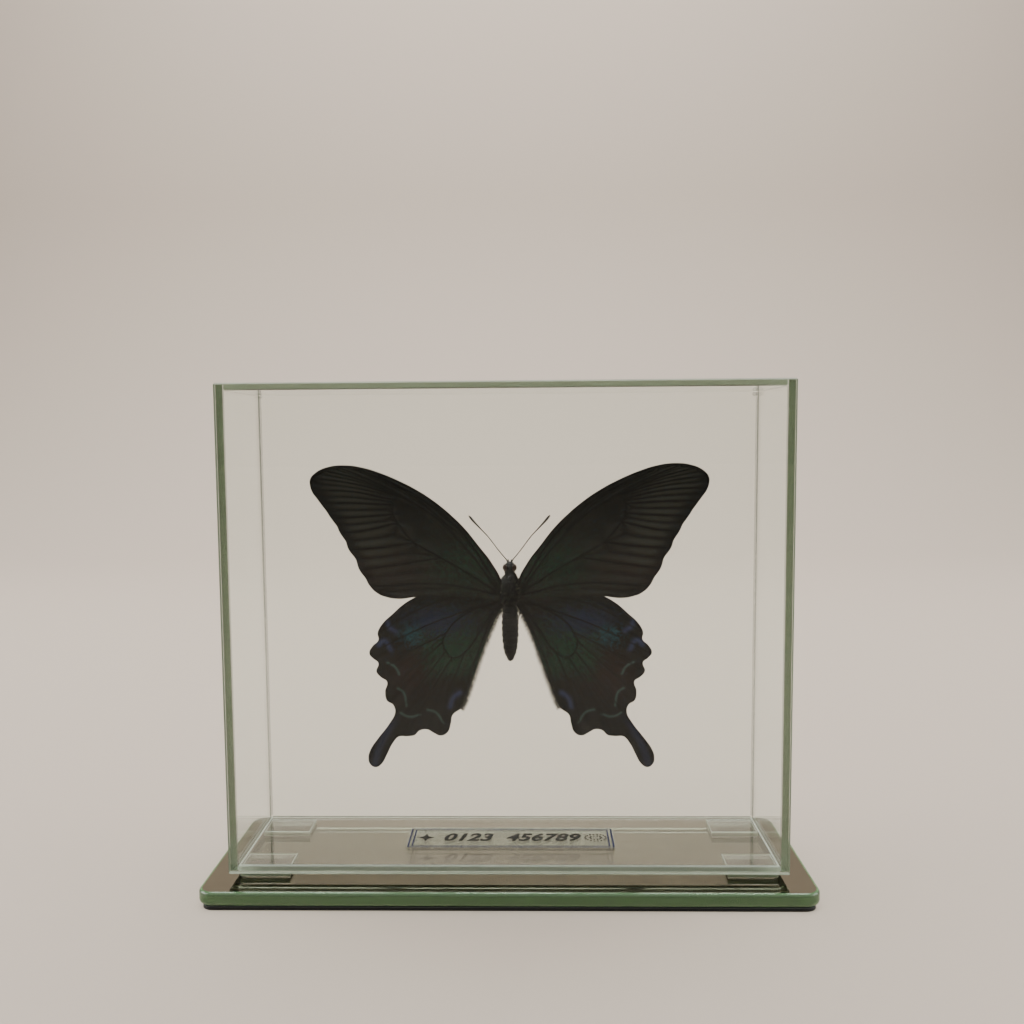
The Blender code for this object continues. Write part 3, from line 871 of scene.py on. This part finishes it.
WING_SCALE = 0.24  # mm across
TONE_PATCH = 5.0  # mm across a patch of one black


def scaled_wing():
    # Wing scales laid like shingles: black ones near matt, olive and green ones dusted over them,
    # and blue and teal ones whose satin sheen is painted into their colour: painted sheen. Real
    # scales are 0.1 mm; they are drawn coarser to show.
    skin, tree, shader, place = new_material("wing_scales", Roughness=0.6, Specular_IOR_Level=0.22)
    scales = add(tree, "TexVoronoi", {"Vector": place, "Scale": 1000 / WING_SCALE})
    draw = add(tree, "SeparateColor", {"Color": scales.outputs["Color"]})
    tone = add(tree, "TexNoise", {"Vector": place, "Scale": 1000 / TONE_PATCH,
               "Detail": 3.0})
    shade = add(tree, "Mix", {"Factor": tone.outputs["Fac"], 6: linear("#0c0a09"),
                7: linear("#17130f")}, data_type="RGBA").outputs[2]
    layers = (("velvet", "#241612", None), ("olive", "#1f1f16", "Blue"),
              ("stripe", "#33322b", None), ("green", "#1a3a28", "Red"),
              ("blue", "#1c243c", "Green"), ("teal", "#19434e", "Green"),
              ("violet", "#2c3450", None), ("crescent", "#3a4c48", None), ("vein", "#060505", None))
    for name, code, lot in layers:
        amount = add(tree, "Attribute", attribute_name=name).outputs["Fac"]
        if lot:
            ahead = add(tree, "Math", {0: amount, 1: draw.outputs[lot]},
                        operation="SUBTRACT")
            amount = add(tree, "MapRange", {"Value": ahead.outputs[0],
                         "From Min": -0.12, "From Max": 0.25}).outputs[0]
        shade = add(tree, "Mix", {"Factor": amount, 6: shade, 7: linear(code)},
                    data_type="RGBA").outputs[2]
    bump = add(tree, "Bump", {"Height": scales.outputs["Distance"], "Strength": 0.35,
               "Distance": 0.04 * MM})
    wire(shader, Base_Color=shade, Normal=bump.outputs[0])
    return skin


wing_scales = scaled_wing()


def mirrored(piece, name):
    """A copy with its own mesh on the other side of the body."""
    only(piece)
    bpy.ops.object.duplicate()
    copy = bpy.context.object
    copy.name = name
    bpy.ops.object.mode_set(mode="EDIT")
    bpy.ops.mesh.select_all(action="SELECT")
    bpy.ops.transform.resize(value=(-1, 1, 1), center_override=(SPECIMEN_X * MM, 0, 0))
    bpy.ops.mesh.flip_normals()
    bpy.ops.object.mode_set(mode="OBJECT")
    return copy


for wing, cad_name in ((forewing, "forewing"), (hindwing, "hindwing")):
    only(wing)
    bpy.ops.object.shade_smooth()
    wing.data.materials.append(wing_scales)
    left = mirrored(wing, wing.name.replace("right", "left"))
    for piece, side in ((wing, "right"), (left, "left")):
        hold(piece, "wing_scales", f"{cad_name}_{side}")

# ---------------------------------------------------------------------------------------------
# Hair: black and grey-green hair over the thorax and head, short bristles down the abdomen and a
# soft brown fringe along each hindwing's inner edge. Each hair is a closed three-sided spike,
# bent once, with its root in the skin.
BODY_HAIRS, FRINGE_HAIRS = 26000, 2600
BODY_HAIR, FRINGE_HAIR = 0.042, 0.022  # mm thick
CLUMP = 0.8  # mm across a pale clump of hair
SEED = 7


def hair_coat():
    # Fine hair: satin, from black to grey-green, each hair in its own shade.
    coat, tree, shader, place = new_material("insect_hair", Roughness=0.6)
    shade = add(tree, "Attribute", attribute_name="shade").outputs["Fac"]
    patch = add(tree, "TexNoise", {"Vector": place, "Scale": 1000 / CLUMP})
    clump = add(tree, "MapRange", {"Value": patch.outputs["Fac"], "From Min": 0.48,
                "From Max": 0.66})
    tuft = add(tree, "Math", {0: shade, 1: clump.outputs[0]}, operation="MULTIPLY")
    dark = add(tree, "Mix", {"Factor": tuft.outputs[0], 6: linear("#040303"),
               7: linear("#77785f")}, data_type="RGBA")
    wire(shader, Base_Color=dark.outputs[2])
    return coat


hair_material = hair_coat()


def grow(name, roots, ways, lengths, droop, thickness, shades):
    """Makes hairs from their roots, ways, lengths and shades. Sizes are in millimetres."""
    ways = ways / np.linalg.norm(ways, axis=1, keepdims=True)
    side = np.cross(ways, np.array((0.31, 0.87, 0.38)))
    side = side / np.linalg.norm(side, axis=1, keepdims=True)
    other = np.cross(ways, side)
    reach = lengths[:, None]
    rings = []
    for share, radius in ((-0.08, thickness), (0.5, 0.75 * thickness)):
        centre = roots + ways * reach * share + np.array(droop) * reach * max(share, 0) ** 2
        for turn in (0, 2 * math.pi / 3, 4 * math.pi / 3):
            rings.append(centre + radius * (math.cos(turn) * side + math.sin(turn) * other))
    rings.append(roots + ways * reach + np.array(droop) * reach)
    count = len(roots)
    places = np.stack(rings, axis=1).reshape(-1, 3) * MM
    pattern = ((0, 2, 1), (0, 1, 4, 3), (1, 2, 5, 4), (2, 0, 3, 5), (3, 4, 6), (4, 5, 6), (5, 3, 6))
    faces = [tuple(7 * hair + corner for corner in face) for hair in range(count)
             for face in pattern]
    mesh = bpy.data.meshes.new(name)
    mesh.from_pydata(places.tolist(), [], faces)
    kept = mesh.attributes.new("shade", "FLOAT", "POINT")
    kept.data.foreach_set("value", np.repeat(shades, 7).astype(np.float32))
    mesh.materials.append(hair_material)
    piece = bpy.data.objects.new(name, mesh)
    bpy.context.scene.collection.objects.link(piece)
    return piece


def skin_roots(skin, count, random):
    """Random places over the body's skin, with the way the skin faces, in millimetres. Rays from
    the body's middle line find them, so they don't hang on the order of the mesh's faces."""
    heights, radii = np.array([ring[:2] for ring in rings]).T
    bands = np.hypot(np.diff(heights), np.diff(radii)) * (radii[1:] + radii[:-1])
    shares = np.append(0, np.cumsum(bands)) / bands.sum()
    picked = np.interp(random.random(count), shares, heights)
    turns = random.uniform(0, 2 * math.pi, count)
    bpy.context.view_layer.update()
    found = []
    for height, turn in zip(picked, turns):
        hit, place, facing, _ = skin.ray_cast(body_place(0, 0, height),
                                              Vector((math.cos(turn), math.sin(turn), 0)))
        if hit:
            found.append((*(place / MM), *facing))
    found = np.array(found)
    return found[:, :3], found[:, 3:]


random = np.random.default_rng(SEED)
roots, facing = skin_roots(body, BODY_HAIRS, random)
height = roots[:, 2] - CASE_BOTTOM
side_share = np.abs(roots[:, 0] - SPECIMEN_X) / 3.0
on_thorax = rise(height, 74.2, 76.0) * (1 - 0.6 * rise(height, 82.4, 83.6))
thick_coat = random.random(len(roots)) < on_thorax * 0.95 + 0.22 - 0.35 * rise(height, 84.0, 85.0)
roots, facing, height = roots[thick_coat], facing[thick_coat], height[thick_coat]
side_share, on_thorax = side_share[thick_coat], on_thorax[thick_coat]
stray = random.normal(0, 0.35, facing.shape)
lay = 0.55 + 1.6 * (1 - on_thorax)
ways = facing + np.array((0, 0, -1.0)) * lay[:, None] + stray
lengths = (0.3 + 0.75 * on_thorax) * random.uniform(0.6, 1.2, len(roots))
shoulder = rise(side_share, 0.45, 0.85) * rise(height, 77.0, 79.5) * on_thorax
shades = (0.08 + 0.3 * on_thorax) * random.random(len(roots))
shades += shoulder * random.uniform(0.5, 1.3, len(roots))
coat = grow("body_hair", roots, ways, lengths, (0, 0, -0.25), BODY_HAIR, shades)
hold(coat, "body_hair_and_chitin")

random = np.random.default_rng(SEED + 1)
inner_edge = line_points(HINDWING_EDGE[HINDWING_MARGIN.stop - 1:])
for side_name, side in (("right", 1), ("left", -1)):
    along = np.sort(random.random(FRINGE_HAIRS)) * (len(inner_edge) - 1)
    first = along.astype(int)
    share = (along - first)[:, None]
    spots = inner_edge[first] * (1 - share) + inner_edge[first + 1] * share
    spots[:, 0] += random.uniform(-0.1, 0.5, FRINGE_HAIRS)
    depth = SPECIMEN_Y + HINDWING_FRONT - WING_LEAN * spots[:, 0]
    depth += random.uniform(-0.05, 0.15, FRINGE_HAIRS)
    roots = np.stack([SPECIMEN_X + side * spots[:, 0], depth, CASE_BOTTOM + spots[:, 1]], axis=1)
    ways = random.normal(0, 0.22, roots.shape) + np.array((-side * 0.8, 0.25, -0.75))
    lengths = random.uniform(0.7, 1.9, FRINGE_HAIRS)
    fringe = grow(f"hindwing_fringe_{side_name}", roots, ways, lengths, (0, 0, -0.15), FRINGE_HAIR,
                  0.5 + 0.5 * random.random(FRINGE_HAIRS))
    hold(fringe, "body_hair_and_chitin")

# ---------------------------------------------------------------------------------------------
# Studio: a pale paper sweep, one soft lamp above the back and one at each side, a sky that is
# dimmer in front, and the camera.
SWEEP_BACK = 1.1  # m, just in front of the back edge, which the wall rises from
sweep = start(bpy.ops.mesh.primitive_plane_add, "studio_sweep", (0, -1.4, 0), size=1)
bpy.ops.transform.resize(value=(3.2, 5.2, 1))
settle()
bpy.ops.object.mode_set(mode="EDIT")
bpy.ops.mesh.select_mode(type="EDGE")
bpy.ops.mesh.select_all(action="DESELECT")
bpy.ops.object.mode_set(mode="OBJECT")
for edge in sweep.data.edges:
    edge.select = all(sweep.data.vertices[i].co.y > SWEEP_BACK for i in edge.vertices)
bpy.ops.object.mode_set(mode="EDIT")
bpy.ops.mesh.extrude_region_move(TRANSFORM_OT_translate={"value": (0, 0, 1.8)})
bpy.ops.object.mode_set(mode="OBJECT")
for edge in sweep.data.edges:
    ends = [sweep.data.vertices[i].co for i in edge.vertices]
    edge.select = all(end.y > SWEEP_BACK and end.z < 0.1 for end in ends)
bpy.ops.object.mode_set(mode="EDIT")
bpy.ops.mesh.bevel(offset=0.5, segments=24)
bpy.ops.object.mode_set(mode="OBJECT")
bpy.ops.object.shade_smooth()
paper = new_material("studio_paper", Roughness=0.9, Base_Color=linear("#b3a698"))[0]
sweep.data.materials.append(paper)
sweep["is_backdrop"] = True

LAMPS = (  # name, place, aim, size in metres, watts
    ("top_lamp", (0.0, 0.4, 1.3), (0.0, 0.75, 0.3), 1.4, 40),
    ("left_lamp", (-1.2, 0.0, 0.9), (0.0, 0.15, 0.05), 0.8, 12),
    ("right_lamp", (1.2, 0.0, 0.8), (0.0, 0.15, 0.05), 0.8, 8),
)
for name, place, aim, size, watts in LAMPS:
    bpy.ops.object.light_add(type="AREA", location=place)
    lamp = bpy.context.object
    lamp.name = name
    lamp.data.size = size
    lamp.data.energy = watts
    lamp.rotation_euler = (Vector(aim) - Vector(place)).to_track_quat("-Z", "Y").to_euler()

world = bpy.data.worlds.new("studio_world")
bpy.context.scene.world = world
world.use_nodes = True
tree = world.node_tree
place = add(tree, "TexCoord").outputs["Generated"]
way = add(tree, "SeparateXYZ", {"Vector": place})
front = add(tree, "MapRange", {"Value": way.outputs["Y"], "From Min": -0.6,
            "From Max": 0.4, "To Min": 0.12, "To Max": 0.45}, interpolation_type="SMOOTHSTEP")
tree.links.new(front.outputs[0], tree.nodes["Background"].inputs["Strength"])
tree.nodes["Background"].inputs["Color"].default_value = linear("#f4f1ec")

bpy.ops.object.camera_add(location=(7.48 * MM, -278.8 * MM, 132.25 * MM),
                          rotation=(math.radians(85.39), math.radians(0.435), math.radians(1.169)))
camera = bpy.context.object
camera.data.lens = 33.05
camera.data.sensor_width = 36
camera.data.clip_start = 0.01
bpy.context.scene.camera = camera

size = {"cad": [list(c) for c in cad_box], "visual": [list(c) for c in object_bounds()]}
